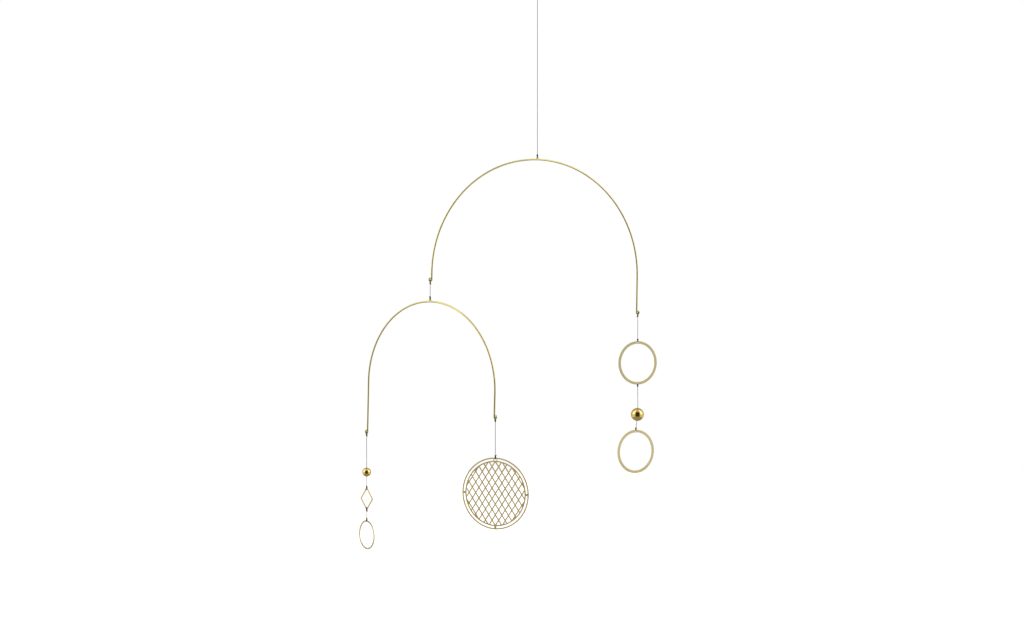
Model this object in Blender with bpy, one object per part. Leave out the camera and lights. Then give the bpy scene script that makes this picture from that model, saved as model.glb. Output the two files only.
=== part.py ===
"""Hanging mobile of two brass wire arches, with flat brass shapes and two brass balls on black threads.

The frame has +Z up, with the origin where the thread's hanging loop bears on what holds it. X runs to the
right as the mobile is seen from the front, and Y runs away from the viewer. Every piece hangs plumb below
the one that carries it, so its place is worked out by walking down from the origin.
"""

import math

import bmesh
import bpy
from mathutils import Matrix, Vector

# Sizes are in metres and angles in degrees. A yaw turns a flat piece about the plumb line, and a positive
# one sends its right side away from the viewer. A tilt lowers the right side.

# Room left between two pieces that touch
TOUCH_GAP = 0.0003

# Thread, its knots and the loop that it is hung up by
THREAD_DIAMETER = 0.0007
KNOT_WIDTH = 0.0022
KNOT_HEIGHT = 0.003
HANGING_LOOP_WIDTH = 0.008
HANGING_LOOP_HEIGHT = 0.019
HANGING_LOOP_STRANDS_APART = 0.001

# Wire of the arches, the loop bent at each end of it and the eye soldered on its crown
WIRE_DIAMETER = 0.0021
END_LOOP_HOLE = 0.0015
END_LOOP_TIP_GAP = 0.0004
EYE_WIRE_DIAMETER = 0.001
EYE_HOLE = 0.0016

# Large arch: half circle, two straight legs, and how far its middle is to the right of the eye
LARGE_ARCH_RADIUS = 0.1542
LARGE_ARCH_LEFT_LEG = 0.0089
LARGE_ARCH_RIGHT_LEG = 0.0503
LARGE_ARCH_OFFSET = 0.0021
LARGE_ARCH_YAW = 25.8
LARGE_ARCH_TILT = 0.86

# Small arch
SMALL_ARCH_RADIUS = 0.1109
SMALL_ARCH_LEFT_LEG = 0.0694
SMALL_ARCH_RIGHT_LEG = 0.0313
SMALL_ARCH_OFFSET = 0.003
SMALL_ARCH_YAW = -39.4
SMALL_ARCH_TILT = 1.8

# Height from the middle of the bar that a thread is tied around to the middle of the next bar or ball
HANGING_DROP = 0.2392
LINK_DROP = 0.0239
UPPER_RING_DROP = 0.0381
LARGE_BALL_DROP = 0.0418
LOWER_RING_DROP = 0.0216
DISC_DROP = 0.0508
SMALL_BALL_DROP = 0.053
RHOMBUS_DROP = 0.0222
SMALL_RING_DROP = 0.0162

# The link thread grips its loop a little outside the lowest point
LINK_GRIP_SHIFT = 0.0004

# The large ball hangs a little askew, which puts the lower ring left of the upper one
LARGE_BALL_TILT = 4.0
LARGE_BALL_SHIFT = -0.0003
LOWER_RING_SHIFT = -0.0024

# Flat pieces: sheet, the holes that a thread goes through and the metal left over and around each
SHEET_THICKNESS = 0.0007
RING_HOLE = 0.002
RING_HOLE_BAR = 0.0008
RING_LUG_WALL = 0.0011
SMALL_RING_HOLE = 0.0014
SMALL_RING_HOLE_BAR = 0.0006
SMALL_RING_LUG_WALL = 0.0006

# Two equal rings
RING_DIAMETER = 0.06
RING_BAND = 0.0036
UPPER_RING_YAW = 25.0
LOWER_RING_YAW = 30.0

# Small ring
SMALL_RING_DIAMETER = 0.0394
SMALL_RING_BAND = 0.0023
SMALL_RING_YAW = -54.0

# Rhombus: its size from corner to corner before the corners are rounded. A thread is tied straight around
# its upper and its lower corner.
RHOMBUS_WIDTH = 0.0225
RHOMBUS_HEIGHT = 0.0329
RHOMBUS_BAND = 0.0022
RHOMBUS_CORNER_RADIUS = 0.0026
RHOMBUS_YAW = -35.0

# Lattice disc: two thin rings, the tabs and the hanging window between them, the lattice in the inner one
DISC_DIAMETER = 0.0918
DISC_RING_WIDTH = 0.0016
DISC_RING_SPACING = 0.0041
DISC_TAB_WIDTH = 0.0028
DISC_WINDOW_WIDTH = 0.0035
DISC_WINDOW_POST = 0.0009
DISC_YAW = -22.5
LATTICE_CELLS_ACROSS = 9
LATTICE_CELLS_DOWN = 6
LATTICE_STRIP = 0.0014
LATTICE_SMALLEST_HOLE = 0.000002

# Balls, bored along their axis, with a wider room from below for the knot that holds them
LARGE_BALL_DIAMETER = 0.018
SMALL_BALL_DIAMETER = 0.012
BORE_CLEARANCE = 0.00035
KNOT_ROOM_DEPTH = 0.0036

# Fineness of the round shapes
ARCH_STEPS = 32
END_LOOP_STEPS = 9
EYE_STEPS = 12
HITCH_STEPS = 8
HANGING_LOOP_STEPS = 14
KNOT_SIDES = 6
KNOT_ROWS = 5
RING_STEPS = 40
LUG_STEPS = 6
HOLE_STEPS = 10
CORNER_STEPS = 5
DISC_STEPS = 52
BORE_STEPS = 10
LARGE_BALL_SIDES = 20
SMALL_BALL_SIDES = 16

UP = Vector((0.0, 0.0, 1.0))
RIGHT = Vector((1.0, 0.0, 0.0))
THREAD_RADIUS = THREAD_DIAMETER / 2
WIRE_RADIUS = WIRE_DIAMETER / 2
END_LOOP_RADIUS = (WIRE_DIAMETER + END_LOOP_HOLE) / 2
EYE_RADIUS = (EYE_WIRE_DIAMETER + EYE_HOLE) / 2
DISC_RING_RADIUS = (DISC_DIAMETER - DISC_RING_WIDTH) / 2
DISC_INNER_RING_RADIUS = DISC_RING_RADIUS - DISC_RING_SPACING

# Half the angle of the rhombus's upper corner, the height of its rounded top over its middle, that of the
# opening's corner, and the metal left between the two
RHOMBUS_HALF_ANGLE = math.atan2(RHOMBUS_WIDTH, RHOMBUS_HEIGHT)
RHOMBUS_TOP = RHOMBUS_HEIGHT / 2 - RHOMBUS_CORNER_RADIUS * (1 / math.sin(RHOMBUS_HALF_ANGLE) - 1)
RHOMBUS_OPENING_TOP = RHOMBUS_HEIGHT / 2 - RHOMBUS_BAND / math.sin(RHOMBUS_HALF_ANGLE)
RHOMBUS_BAR = RHOMBUS_TOP - RHOMBUS_OPENING_TOP


def clear_scene():
    """Remove every object of the open scene."""
    for scene_object in list(bpy.data.objects):
        bpy.data.objects.remove(scene_object, do_unlink=True)


def make_material(name, colour, metallic, roughness):
    """A plain Principled material."""
    material = bpy.data.materials.new(name)
    material.use_nodes = True
    shader = material.node_tree.nodes["Principled BSDF"]
    shader.inputs["Base Color"].default_value = (*colour, 1.0)
    shader.inputs["Metallic"].default_value = metallic
    shader.inputs["Roughness"].default_value = roughness
    return material


def make_collection(name):
    """A collection in the scene."""
    collection = bpy.data.collections.new(name)
    bpy.context.scene.collection.children.link(collection)
    return collection


def link_object(name, data, collection):
    """A new object of the given data in a collection."""
    new_object = bpy.data.objects.new(name, data)
    collection.objects.link(new_object)
    return new_object


def evaluated_mesh(source):
    """The mesh that an object shows, welded and facing outwards."""
    bpy.context.view_layer.update()
    shown = source.evaluated_get(bpy.context.evaluated_depsgraph_get())
    mesh = bpy.data.meshes.new_from_object(shown)
    work = bmesh.new()
    work.from_mesh(mesh)
    bmesh.ops.remove_doubles(work, verts=work.verts, dist=0.000001)
    bmesh.ops.recalc_face_normals(work, faces=work.faces)
    work.to_mesh(mesh)
    work.free()
    return mesh


def made_mesh(source, collection):
    """A mesh object in place of a curve object, where the curve was."""
    mesh_object = link_object(source.name + "_mesh", evaluated_mesh(source), collection)
    mesh_object.matrix_world = source.matrix_world
    bpy.data.objects.remove(source, do_unlink=True)
    return mesh_object


def tube(name, points, radius, collection, closed=False, fineness=2):
    """A round wire along a list of points."""
    curve = bpy.data.curves.new(name, "CURVE")
    curve.dimensions = "3D"
    curve.bevel_depth = radius
    curve.bevel_resolution = fineness
    curve.use_fill_caps = not closed
    spline = curve.splines.new("POLY")
    spline.points.add(len(points) - 1)
    for target, point in zip(spline.points, points):
        target.co = (*point, 1.0)
    spline.use_cyclic_u = closed
    return made_mesh(link_object(name, curve, collection), collection)


def flat_shape(name, outlines, collection):
    """A piece of sheet that stands upright: the first outline is its edge and the others are its holes."""
    curve = bpy.data.curves.new(name, "CURVE")
    curve.dimensions = "2D"
    curve.fill_mode = "BOTH"
    curve.extrude = SHEET_THICKNESS / 2
    for outline in outlines:
        spline = curve.splines.new("POLY")
        spline.points.add(len(outline) - 1)
        for target, (x, z) in zip(spline.points, outline):
            target.co = (x, z, 0.0, 1.0)
        spline.use_cyclic_u = True
    flat = made_mesh(link_object(name, curve, collection), collection)
    flat.data.transform(Matrix.Rotation(math.radians(90), 4, "X"))
    return flat


def combine(target, tool, operation):
    """Work out a Boolean of two objects and keep its result."""
    modifier = target.modifiers.new(operation.lower(), "BOOLEAN")
    modifier.operation = operation
    modifier.solver = "EXACT"
    modifier.object = tool
    result = evaluated_mesh(target)
    target.modifiers.clear()
    target.data = result


def join(target, tool):
    """Make a tool part of an object."""
    combine(target, tool, "UNION")
    bpy.data.objects.remove(tool, do_unlink=True)


def cut(target, tool):
    """Cut a tool out of an object, and keep it as a hidden cutter."""
    tool.hide_render = True
    tool.display_type = "WIRE"
    combine(target, tool, "DIFFERENCE")
    tool.parent = target


def finish(piece, name, material, sharp_angle):
    """Name a piece and give it its material and shading."""
    piece.name = name
    piece.data.name = name
    piece.data.materials.clear()
    piece.data.materials.append(material)
    piece.data.shade_smooth()
    piece.data.set_sharp_from_angle(angle=math.radians(sharp_angle))
    return piece


def along(yaw):
    """The level direction in which a flat piece with this yaw runs to its right."""
    return Vector((math.cos(math.radians(yaw)), math.sin(math.radians(yaw)), 0.0))


def across(yaw):
    """The level direction at right angles to a flat piece with this yaw."""
    return Vector((-math.sin(math.radians(yaw)), math.cos(math.radians(yaw)), 0.0))


def circle(radius, steps, centre_height=0.0):
    """Points of a circle whose centre is on the upright axis."""
    turns = [2 * math.pi * step / steps for step in range(steps)]
    return [(radius * math.cos(turn), centre_height + radius * math.sin(turn)) for turn in turns]


class Bar:
    """A short bar of metal that a thread is tied around."""

    def __init__(self, place, yaw, height, reach):
        self.place = place
        self.yaw = yaw
        self.knot_distance = height / 2 + TOUCH_GAP + KNOT_HEIGHT / 2
        self.hitch_radius = reach + TOUCH_GAP + THREAD_RADIUS

    def knot_below(self):
        """The middle of the knot right under the bar."""
        return self.place - UP * self.knot_distance

    def knot_above(self):
        """The middle of the knot right over the bar."""
        return self.place + UP * self.knot_distance

    def hitch(self, origin, collection):
        """The turn of thread around the bar."""
        points = []
        for step in range(HITCH_STEPS):
            turn = 2 * math.pi * (step + 0.5) / HITCH_STEPS
            offset = across(self.yaw) * math.cos(turn) + UP * math.sin(turn)
            points.append(self.place - origin + offset * self.hitch_radius)
        return tube("hitch", points, THREAD_RADIUS, collection, closed=True, fineness=0)


def wire_bar(place, yaw, diameter):
    """A stretch of round wire that a thread is tied around."""
    return Bar(place, yaw, diameter, diameter / 2)


def sheet_bar(place, yaw, height):
    """A strip of sheet that a thread is tied around."""
    return Bar(place, yaw, height, math.hypot(height, SHEET_THICKNESS) / 2)


def corner_bar(place, yaw, height, half_angle):
    """A corner of a frame that a thread is tied around, far enough in to stand clear of both its sides."""
    clear = THREAD_RADIUS + TOUCH_GAP
    farthest = height / 2 + clear / math.sin(half_angle)
    return Bar(place, yaw, height, farthest / math.cos(math.pi / HITCH_STEPS) - clear)


class Arch:
    """A wire bent to a half circle with two legs, each of which ends in a loop turned outwards."""

    def __init__(self, held_at, radius, left_leg, right_leg, offset, yaw, tilt):
        self.radius = radius
        self.legs = {-1: left_leg, 1: right_leg}
        self.offset = offset
        self.yaw = yaw
        self.eye_height = WIRE_RADIUS + EYE_HOLE / 2
        turn = Matrix.Rotation(math.radians(yaw), 4, "Z") @ Matrix.Rotation(math.radians(tilt), 4, "Y")
        eye_top = UP * (self.eye_height + EYE_RADIUS)
        self.matrix = Matrix.Translation(held_at) @ turn @ Matrix.Translation(-eye_top)

    def loop_centre(self, side):
        """The middle of the end loop on the left (side -1) or the right (side 1), in the arch's own frame."""
        level = self.offset + side * (self.radius + END_LOOP_RADIUS)
        return Vector((level, 0.0, -self.radius - self.legs[side]))

    def loop_points(self, side):
        """The wire's line around an end loop, from the leg down, out and back up to its tip."""
        room = END_LOOP_RADIUS - WIRE_RADIUS - END_LOOP_TIP_GAP
        sweep = 2 * math.pi - math.acos(room / (END_LOOP_RADIUS + WIRE_RADIUS))
        points = []
        for step in range(END_LOOP_STEPS + 1):
            turn = sweep * step / END_LOOP_STEPS
            offset = Vector((-side * math.cos(turn), 0.0, -math.sin(turn)))
            points.append(self.loop_centre(side) + offset * END_LOOP_RADIUS)
        return points

    def wire_points(self):
        """The whole wire's line, from the tip of the left loop to the tip of the right one."""
        points = list(reversed(self.loop_points(-1)))
        for step in range(ARCH_STEPS + 1):
            turn = math.pi * (1 - step / ARCH_STEPS)
            level = self.offset + self.radius * math.cos(turn)
            points.append(Vector((level, 0.0, self.radius * (math.sin(turn) - 1))))
        return points + self.loop_points(1)

    def build(self, name, material, collection):
        """The wire with its eye, as one solid."""
        wire = tube(name, self.wire_points(), WIRE_RADIUS, collection)
        eye_points = [(x, 0.0, z) for x, z in circle(EYE_RADIUS, EYE_STEPS, self.eye_height)]
        join(wire, tube("eye", eye_points, EYE_WIRE_DIAMETER / 2, collection, closed=True, fineness=1))
        wire.matrix_world = self.matrix
        return finish(wire, name, material, 50)

    def end_bar(self, side, shift=0.0):
        """The stretch of an end loop that a thread hangs on, shifted outwards from its lowest point."""
        drop = math.sqrt(END_LOOP_RADIUS ** 2 - shift ** 2)
        centre = self.matrix @ self.loop_centre(side)
        return wire_bar(centre + along(self.yaw) * side * shift - UP * drop, self.yaw, WIRE_DIAMETER)


def make_knot(centre, collection):
    """A knot drawn tight, as a tall round bead."""
    mesh = bpy.data.meshes.new("knot")
    work = bmesh.new()
    bmesh.ops.create_uvsphere(work, u_segments=KNOT_SIDES, v_segments=KNOT_ROWS, radius=0.5)
    bmesh.ops.scale(work, vec=(KNOT_WIDTH, KNOT_WIDTH, KNOT_HEIGHT), verts=work.verts)
    # Turned a little, so that its edges do not lie along those of the thread.
    bmesh.ops.rotate(work, matrix=Matrix.Rotation(math.radians(23), 3, "Z"), verts=work.verts)
    bmesh.ops.translate(work, vec=centre, verts=work.verts)
    work.to_mesh(mesh)
    work.free()
    return link_object("knot", mesh, collection)


def make_thread(name, path, bars, knots, material, collection, loops=()):
    """A thread along a path of points, with its knots and its turns around bars, as one solid."""
    origin = path[0].copy()
    thread = tube(name, [point - origin for point in path], THREAD_RADIUS, collection)
    for centre in knots:
        join(thread, make_knot(centre - origin, collection))
    for bar in bars:
        join(thread, bar.hitch(origin, collection))
    for loop in loops:
        join(thread, loop)
    thread.location = origin
    return finish(thread, name, material, 60)


def tied_thread(name, top, bottom, material, collection):
    """A straight thread tied around one bar above and one below."""
    path = [top.knot_below(), bottom.knot_above()]
    return make_thread(name, path, [top, bottom], path, material, collection)


def hanging_loop(knot, collection):
    """The loop over the main thread's upper knot: a round top with two strands drawn in to the knot."""
    top_radius = HANGING_LOOP_WIDTH / 2
    centre = UP * (THREAD_RADIUS - top_radius)
    narrowing = math.asin(top_radius / (centre.z - knot.z))
    strand = RIGHT * HANGING_LOOP_STRANDS_APART / 2
    points = [strand]
    for step in range(HANGING_LOOP_STEPS + 1):
        turn = -narrowing + (math.pi + 2 * narrowing) * step / HANGING_LOOP_STEPS
        points.append(centre - knot + (RIGHT * math.cos(turn) + UP * math.sin(turn)) * top_radius)
    points.append(-strand)
    return tube("loop", points, THREAD_RADIUS, collection)


def lugged_outline(inner_radius, lug_centre, lug_radius, lug_turns):
    """The inside edge of a ring whose band widens to a round lug at each hole."""
    shape = inner_radius ** 2 + lug_centre ** 2 - lug_radius ** 2
    half_lug = math.acos(shape / (2 * inner_radius * lug_centre))
    edge = []
    for step in range(RING_STEPS):
        turn = 2 * math.pi * step / RING_STEPS
        if all(abs(turn - lug_turn) > 1.5 * half_lug for lug_turn in lug_turns):
            edge.append((turn, inner_radius))
    for lug_turn in lug_turns:
        for step in range(LUG_STEPS + 1):
            offset = half_lug * (2 * step / LUG_STEPS - 1)
            sink = math.sqrt(lug_radius ** 2 - (lug_centre * math.sin(offset)) ** 2)
            edge.append((lug_turn + offset, lug_centre * math.cos(offset) - sink))
    return [(radius * math.cos(turn), radius * math.sin(turn)) for turn, radius in sorted(edge)]


def make_ring(name, diameter, band, hole, bar, lug_wall, hole_sides, material, collection):
    """A flat ring with a thread hole on each named side, the top (side 1) or the bottom (side -1)."""
    hole_centre = diameter / 2 - bar - hole / 2
    lug_turns = [math.pi * (1 - side / 2) for side in hole_sides]
    outlines = [circle(diameter / 2, RING_STEPS)]
    outlines.append(lugged_outline(diameter / 2 - band, hole_centre, hole / 2 + lug_wall, lug_turns))
    for side in hole_sides:
        outlines.append(circle(hole / 2, HOLE_STEPS, side * hole_centre))
    return finish(flat_shape(name, outlines, collection), name, material, 30)


def diamond(width, height, x=0.0, z=0.0):
    """Corners of a rhombus."""
    return [(x + width / 2, z), (x, z + height / 2), (x - width / 2, z), (x, z - height / 2)]


def rounded_diamond(width, height, radius):
    """Outline of a rhombus whose corners are rounded."""
    upper = math.atan2(width, height)
    corners = [(width / 2, 0, math.pi / 2 - upper), (height / 2, 90, upper)]
    corners += [(width / 2, 180, math.pi / 2 - upper), (height / 2, 270, upper)]
    points = []
    for reach, facing, half_angle in corners:
        centre = reach - radius / math.sin(half_angle)
        for step in range(CORNER_STEPS + 1):
            turn = math.radians(facing) + (math.pi / 2 - half_angle) * (2 * step / CORNER_STEPS - 1)
            x = centre * math.cos(math.radians(facing)) + radius * math.cos(turn)
            points.append((x, centre * math.sin(math.radians(facing)) + radius * math.sin(turn)))
    return points


def make_rhombus(name, material, collection):
    """The rhombus frame."""
    shrink = RHOMBUS_OPENING_TOP / (RHOMBUS_HEIGHT / 2)
    outlines = [rounded_diamond(RHOMBUS_WIDTH, RHOMBUS_HEIGHT, RHOMBUS_CORNER_RADIUS)]
    outlines.append(diamond(RHOMBUS_WIDTH * shrink, RHOMBUS_HEIGHT * shrink))
    return finish(flat_shape(name, outlines, collection), name, material, 30)


def gap_outline(start, start_offset, end, end_offset, steps):
    """A gap between the disc's two rings, from one straight-sided bar to the next."""
    outer = DISC_RING_RADIUS - DISC_RING_WIDTH / 2
    inner = DISC_INNER_RING_RADIUS + DISC_RING_WIDTH / 2
    points = []
    for radius in (outer, inner):
        first = math.radians(start) + math.asin(start_offset / radius)
        last = math.radians(end) + math.asin(end_offset / radius)
        turns = [first + (last - first) * step / steps for step in range(steps + 1)]
        if radius == inner:
            turns.reverse()
        points += [(radius * math.cos(turn), radius * math.sin(turn)) for turn in turns]
    return points


def clipped(outline, start, end):
    """The part of an outline that lies on the left of the line from one point to another."""
    line = Vector(end) - Vector(start)
    sides = [line.cross(Vector(point) - Vector(start)) for point in outline]
    kept = []
    for index, point in enumerate(outline):
        following = (index + 1) % len(outline)
        if sides[index] >= 0:
            kept.append(point)
        if sides[index] * sides[following] < 0:
            share = sides[index] / (sides[index] - sides[following])
            kept.append(tuple(Vector(point).lerp(Vector(outline[following]), share)))
    return kept


def area(outline):
    """The area inside an outline."""
    total = 0.0
    for index, point in enumerate(outline):
        total += Vector(outline[index - 1]).cross(Vector(point)) / 2
    return total


def lattice_holes():
    """The rhombic holes of the lattice, cut off by the inner ring's inside edge."""
    width = 2 * DISC_INNER_RING_RADIUS / LATTICE_CELLS_ACROSS
    height = 2 * DISC_INNER_RING_RADIUS / LATTICE_CELLS_DOWN
    shrink = 1 - LATTICE_STRIP * math.hypot(1 / width, 1 / height)
    edge = circle(DISC_INNER_RING_RADIUS - DISC_RING_WIDTH / 2, DISC_STEPS)
    holes = []
    for first in range(-LATTICE_CELLS_ACROSS, LATTICE_CELLS_ACROSS):
        for second in range(-LATTICE_CELLS_ACROSS, LATTICE_CELLS_ACROSS):
            x = width * (first + second + 1) / 2
            z = height * (first - second) / 2
            hole = diamond(width * shrink, height * shrink, x, z)
            for index, point in enumerate(edge):
                hole = clipped(hole, edge[index - 1], point)
            if area(hole) > LATTICE_SMALLEST_HOLE:
                holes.append(hole)
    return holes


def make_disc(name, material, collection):
    """The lattice disc."""
    tab = DISC_TAB_WIDTH / 2
    window = DISC_WINDOW_WIDTH / 2
    post = window + DISC_WINDOW_POST
    quarter = DISC_STEPS // 4
    outlines = [circle(DISC_DIAMETER / 2, DISC_STEPS)]
    outlines.append(gap_outline(0, tab, 90, -post, quarter))
    outlines.append(gap_outline(90, -window, 90, window, 2))
    outlines.append(gap_outline(90, post, 180, -tab, quarter))
    outlines.append(gap_outline(180, tab, 270, -tab, quarter))
    outlines.append(gap_outline(270, tab, 360, -tab, quarter))
    outlines += lattice_holes()
    return finish(flat_shape(name, outlines, collection), name, material, 30)


def cylinder(name, radius, top, bottom, collection):
    """An upright cylinder."""
    mesh = bpy.data.meshes.new(name)
    work = bmesh.new()
    middle = Matrix.Translation(UP * (top + bottom) / 2)
    bmesh.ops.create_cone(work, cap_ends=True, segments=BORE_STEPS, radius1=radius, radius2=radius,
                          depth=top - bottom, matrix=middle)
    work.to_mesh(mesh)
    work.free()
    return link_object(name, mesh, collection)


def make_ball(name, diameter, sides, material, collection, cutters):
    """A ball bored for the thread, with a wider room from below for the knot."""
    mesh = bpy.data.meshes.new(name)
    work = bmesh.new()
    bmesh.ops.create_uvsphere(work, u_segments=sides, v_segments=sides // 2, radius=diameter / 2)
    work.to_mesh(mesh)
    work.free()
    ball = link_object(name, mesh, collection)
    room_top = KNOT_ROOM_DEPTH - diameter / 2
    cut(ball, cylinder(name + "_bore", THREAD_RADIUS + BORE_CLEARANCE, diameter, -diameter, cutters))
    cut(ball, cylinder(name + "_knot_room", KNOT_WIDTH / 2 + BORE_CLEARANCE, room_top, -diameter, cutters))
    return finish(ball, name, material, 40)


def ball_knot(diameter):
    """How far below a ball's middle the knot sits that holds it."""
    return diameter / 2 - KNOT_ROOM_DEPTH + TOUCH_GAP + KNOT_HEIGHT / 2


def put(piece, centre, yaw):
    """Put a flat piece upright at its place."""
    piece.location = centre
    piece.rotation_euler = (0.0, 0.0, math.radians(yaw))


clear_scene()
mobile = make_collection("hanging_mobile")
cutters = make_collection("hanging_mobile_cutters")

wire_brass = make_material("wire_brass", (0.62, 0.52, 0.27), 1.0, 0.25)
sheet_brass = make_material("sheet_brass", (0.64, 0.54, 0.29), 1.0, 0.28)
ball_brass = make_material("ball_brass", (0.78, 0.62, 0.28), 1.0, 0.1)
black_thread = make_material("black_thread", (0.02, 0.02, 0.022), 0.0, 0.8)

# Main thread and large arch
large_eye = wire_bar(-UP * HANGING_DROP, LARGE_ARCH_YAW, EYE_WIRE_DIAMETER)
large_arch = Arch(large_eye.place, LARGE_ARCH_RADIUS, LARGE_ARCH_LEFT_LEG, LARGE_ARCH_RIGHT_LEG,
                  LARGE_ARCH_OFFSET, LARGE_ARCH_YAW, LARGE_ARCH_TILT)
large_arch.build("large_arch", wire_brass, mobile)
top_knot = -UP * HANGING_LOOP_HEIGHT
hanging_path = [top_knot, large_eye.knot_above()]
make_thread("hanging_thread", hanging_path, [large_eye], hanging_path, black_thread, mobile,
            [hanging_loop(top_knot, mobile)])

# Link thread and small arch
link_top = large_arch.end_bar(-1, LINK_GRIP_SHIFT)
small_eye = wire_bar(link_top.place - UP * LINK_DROP, SMALL_ARCH_YAW, EYE_WIRE_DIAMETER)
small_arch = Arch(small_eye.place, SMALL_ARCH_RADIUS, SMALL_ARCH_LEFT_LEG, SMALL_ARCH_RIGHT_LEG,
                  SMALL_ARCH_OFFSET, SMALL_ARCH_YAW, SMALL_ARCH_TILT)
small_arch.build("small_arch", wire_brass, mobile)
tied_thread("link_thread", link_top, small_eye, black_thread, mobile)

# Upper ring
ring_half = (RING_DIAMETER - RING_HOLE_BAR) / 2
ring_top = large_arch.end_bar(1)
upper_ring_top = sheet_bar(ring_top.place - UP * UPPER_RING_DROP, UPPER_RING_YAW, RING_HOLE_BAR)
upper_ring = make_ring("upper_ring", RING_DIAMETER, RING_BAND, RING_HOLE, RING_HOLE_BAR, RING_LUG_WALL,
                       (1, -1), sheet_brass, mobile)
put(upper_ring, upper_ring_top.place - UP * ring_half, UPPER_RING_YAW)
tied_thread("ring_thread", ring_top, upper_ring_top, black_thread, mobile)

# Large ball and lower ring
upper_ring_bottom = sheet_bar(upper_ring_top.place - UP * 2 * ring_half, UPPER_RING_YAW, RING_HOLE_BAR)
ball_place = upper_ring_bottom.place - UP * LARGE_BALL_DROP + RIGHT * LARGE_BALL_SHIFT
ball_axis = Matrix.Rotation(math.radians(LARGE_BALL_TILT), 3, "Y") @ UP
large_ball = make_ball("large_ball", LARGE_BALL_DIAMETER, LARGE_BALL_SIDES, ball_brass, mobile, cutters)
large_ball.location = ball_place
large_ball.rotation_euler = (0.0, math.radians(LARGE_BALL_TILT), 0.0)
ring_place = upper_ring_bottom.place - UP * (LARGE_BALL_DROP + LOWER_RING_DROP) + RIGHT * LOWER_RING_SHIFT
lower_ring_top = sheet_bar(ring_place, LOWER_RING_YAW, RING_HOLE_BAR)
lower_ring = make_ring("lower_ring", RING_DIAMETER, RING_BAND, RING_HOLE, RING_HOLE_BAR, RING_LUG_WALL,
                       (1,), sheet_brass, mobile)
put(lower_ring, ring_place - UP * ring_half, LOWER_RING_YAW)
ball_path = [upper_ring_bottom.knot_below()]
ball_path.append(ball_place + ball_axis * LARGE_BALL_DIAMETER / 2)
ball_path.append(ball_place - ball_axis * ball_knot(LARGE_BALL_DIAMETER))
ball_path.append(lower_ring_top.knot_above())
make_thread("ball_thread", ball_path, [upper_ring_bottom, lower_ring_top],
            [ball_path[0], ball_path[2], ball_path[3]], black_thread, mobile)

# Lattice disc
disc_top = small_arch.end_bar(1)
disc_bar = sheet_bar(disc_top.place - UP * DISC_DROP, DISC_YAW, DISC_RING_WIDTH)
lattice_disc = make_disc("lattice_disc", sheet_brass, mobile)
put(lattice_disc, disc_bar.place - UP * DISC_RING_RADIUS, DISC_YAW)
tied_thread("disc_thread", disc_top, disc_bar, black_thread, mobile)

# Small ball and rhombus
small_ball_top = small_arch.end_bar(-1)
small_ball_place = small_ball_top.place - UP * SMALL_BALL_DROP
small_ball = make_ball("small_ball", SMALL_BALL_DIAMETER, SMALL_BALL_SIDES, ball_brass, mobile, cutters)
small_ball.location = small_ball_place
rhombus_top_place = small_ball_place - UP * RHOMBUS_DROP
rhombus_top = corner_bar(rhombus_top_place, RHOMBUS_YAW, RHOMBUS_BAR, RHOMBUS_HALF_ANGLE)
rhombus_half = RHOMBUS_TOP - RHOMBUS_BAR / 2
rhombus = make_rhombus("rhombus", sheet_brass, mobile)
put(rhombus, rhombus_top.place - UP * rhombus_half, RHOMBUS_YAW)
small_ball_path = [small_ball_top.knot_below()]
small_ball_path.append(small_ball_place - UP * ball_knot(SMALL_BALL_DIAMETER))
small_ball_path.append(rhombus_top.knot_above())
make_thread("small_ball_thread", small_ball_path, [small_ball_top, rhombus_top], small_ball_path,
            black_thread, mobile)

# Small ring
rhombus_bottom_place = rhombus_top_place - UP * 2 * rhombus_half
rhombus_bottom = corner_bar(rhombus_bottom_place, RHOMBUS_YAW, RHOMBUS_BAR, RHOMBUS_HALF_ANGLE)
small_ring_top = sheet_bar(rhombus_bottom.place - UP * SMALL_RING_DROP, SMALL_RING_YAW, SMALL_RING_HOLE_BAR)
small_ring_half = (SMALL_RING_DIAMETER - SMALL_RING_HOLE_BAR) / 2
small_ring = make_ring("small_ring", SMALL_RING_DIAMETER, SMALL_RING_BAND, SMALL_RING_HOLE,
                       SMALL_RING_HOLE_BAR, SMALL_RING_LUG_WALL, (1,), sheet_brass, mobile)
put(small_ring, small_ring_top.place - UP * small_ring_half, SMALL_RING_YAW)
tied_thread("short_thread", rhombus_bottom, small_ring_top, black_thread, mobile)
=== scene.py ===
# %% [markdown]
# # A hanging mobile of brass wire and brass sheet
# Two bent wires hang one below the other, and flat shapes and bored balls hang from their ends on black
# thread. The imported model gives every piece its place. Here each piece is made again with the detail that
# shows from close by: wire with rounded tips and solder, sheet with broken edges, balls turned with a bore,
# and thread that is twisted and knotted.

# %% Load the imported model
import math
import bmesh
import bpy
from mathutils import Matrix, Vector


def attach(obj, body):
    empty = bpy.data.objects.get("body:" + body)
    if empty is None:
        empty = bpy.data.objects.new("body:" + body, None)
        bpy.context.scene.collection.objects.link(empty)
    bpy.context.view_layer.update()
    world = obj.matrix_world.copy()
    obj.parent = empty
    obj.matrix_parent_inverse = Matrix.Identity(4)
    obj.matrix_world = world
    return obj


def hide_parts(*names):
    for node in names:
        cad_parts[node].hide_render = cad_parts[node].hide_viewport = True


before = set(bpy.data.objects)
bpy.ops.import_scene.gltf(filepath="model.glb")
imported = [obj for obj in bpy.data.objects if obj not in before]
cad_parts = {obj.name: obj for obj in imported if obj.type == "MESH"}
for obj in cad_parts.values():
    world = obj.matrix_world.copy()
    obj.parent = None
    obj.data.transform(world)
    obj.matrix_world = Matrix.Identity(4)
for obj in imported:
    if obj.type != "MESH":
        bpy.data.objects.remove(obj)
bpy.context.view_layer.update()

print("nodes:", len(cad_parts))

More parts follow.
